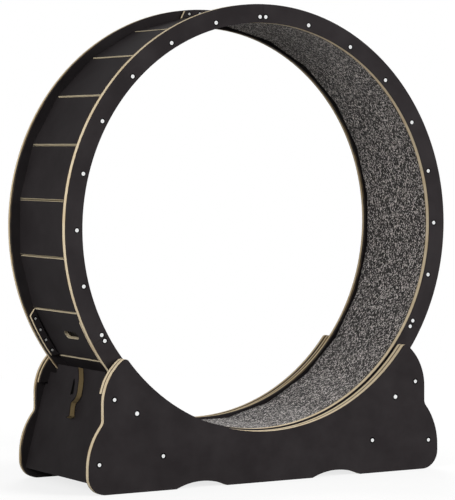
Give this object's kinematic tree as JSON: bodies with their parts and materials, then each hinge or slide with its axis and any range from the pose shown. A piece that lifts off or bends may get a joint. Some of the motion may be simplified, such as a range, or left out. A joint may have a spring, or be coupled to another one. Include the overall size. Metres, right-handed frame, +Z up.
{
  "type": "cat exercise wheel",
  "caption": "Large open running wheel of arc-shaped boards and flat treads, carpeted inside, turning on rollers in a low board stand with a sliding stopper.",
  "frame": {"origin": "on the floor, midway between the two stand panels and under the wheel's axis", "axes": "+X along the stand, +Y along the wheel's axis towards the back, +Z up"},
  "size_m": [1, 0.3468, 1.075],
  "materials": {
    "laminated_board": "black laminate on fibreboard, satin, with bare tan cut edges",
    "bare_board": "fibreboard with black faces and bare cut edges",
    "pine": "planed softwood",
    "carpet": "short salt-and-pepper loop pile",
    "plated_screws": "bright zinc plate",
    "bright_steel": "drawn bright",
    "bearing_steel": "ground",
    "roller_rubber": "matt"
  },
  "bodies": {
    "stand": {"back_guide_rim": "laminated_board", "cross_batten_left": "pine", "cross_batten_right": "pine", "end_panel_left": "laminated_board", "end_panel_right": "laminated_board", "front_guide_rim": "laminated_board", "roller_axle_left": "bright_steel", "roller_axle_right": "bright_steel", "roller_bearings": "bearing_steel", "stand_back_panel": "laminated_board", "stand_front_panel": "laminated_board", "stand_screws": "plated_screws"},
    "wheel": {"back_joint_plates": "laminated_board", "back_ring_arc_bottom": "laminated_board", "back_ring_arc_left": "laminated_board", "back_ring_arc_right": "laminated_board", "carpet_lining": "carpet", "front_joint_plates": "laminated_board", "front_ring_arc_bottom": "laminated_board", "front_ring_arc_left": "laminated_board", "front_ring_arc_right": "laminated_board", "lock_tread": "laminated_board", "tread_01": "laminated_board", "tread_02": "laminated_board", "tread_03": "laminated_board", "tread_04": "laminated_board", "tread_05": "laminated_board", "tread_06": "laminated_board", "tread_07": "laminated_board", "tread_08": "laminated_board", "tread_10": "laminated_board", "tread_11": "laminated_board", "tread_12": "laminated_board", "tread_13": "laminated_board", "tread_14": "laminated_board", "tread_15": "laminated_board", "tread_16": "laminated_board", "tread_17": "laminated_board", "tread_18": "laminated_board", "tread_19": "laminated_board", "tread_20": "laminated_board", "tread_21": "laminated_board", "tread_22": "laminated_board", "tread_23": "laminated_board", "tread_24": "laminated_board"},
    "stopper": {"stopper_handle": "bare_board", "stopper_keeper": "bare_board", "stopper_slider": "bare_board"},
    "roller_back_left": {"roller_back_left": "roller_rubber"},
    "roller_back_right": {"roller_back_right": "roller_rubber"},
    "roller_front_left": {"roller_front_left": "roller_rubber"},
    "roller_front_right": {"roller_front_right": "roller_rubber"}
  },
  "joints": [
    {"name": "wheel_spin", "type": "hinge", "parent": "stand", "child": "wheel", "pos_m": [0, 0, 0.575], "axis": [0, 1, 0], "continuous": true},
    {"name": "roller_front_left_spin", "type": "hinge", "parent": "stand", "child": "roller_front_left", "pos_m": [-0.34154, -0.1345, 0.17326], "axis": [0, 1, 0], "continuous": true},
    {"name": "roller_back_left_spin", "type": "hinge", "parent": "stand", "child": "roller_back_left", "pos_m": [-0.34154, 0.1345, 0.17326], "axis": [0, 1, 0], "continuous": true},
    {"name": "roller_front_right_spin", "type": "hinge", "parent": "stand", "child": "roller_front_right", "pos_m": [0.34154, -0.1345, 0.17326], "axis": [0, 1, 0], "continuous": true},
    {"name": "roller_back_right_spin", "type": "hinge", "parent": "stand", "child": "roller_back_right", "pos_m": [0.34154, 0.1345, 0.17326], "axis": [0, 1, 0], "continuous": true},
    {"name": "stopper_slide", "type": "slide", "parent": "stand", "child": "stopper", "axis": [0.2602, 0, 0.9655], "range_m": [0, 0.019]}
  ],
  "couplings": [
    {"joint": "roller_front_left_spin", "follows": "wheel_spin", "ratio": -18.519},
    {"joint": "roller_back_left_spin", "follows": "wheel_spin", "ratio": -18.519},
    {"joint": "roller_front_right_spin", "follows": "wheel_spin", "ratio": -18.519},
    {"joint": "roller_back_right_spin", "follows": "wheel_spin", "ratio": -18.519}
  ]
}
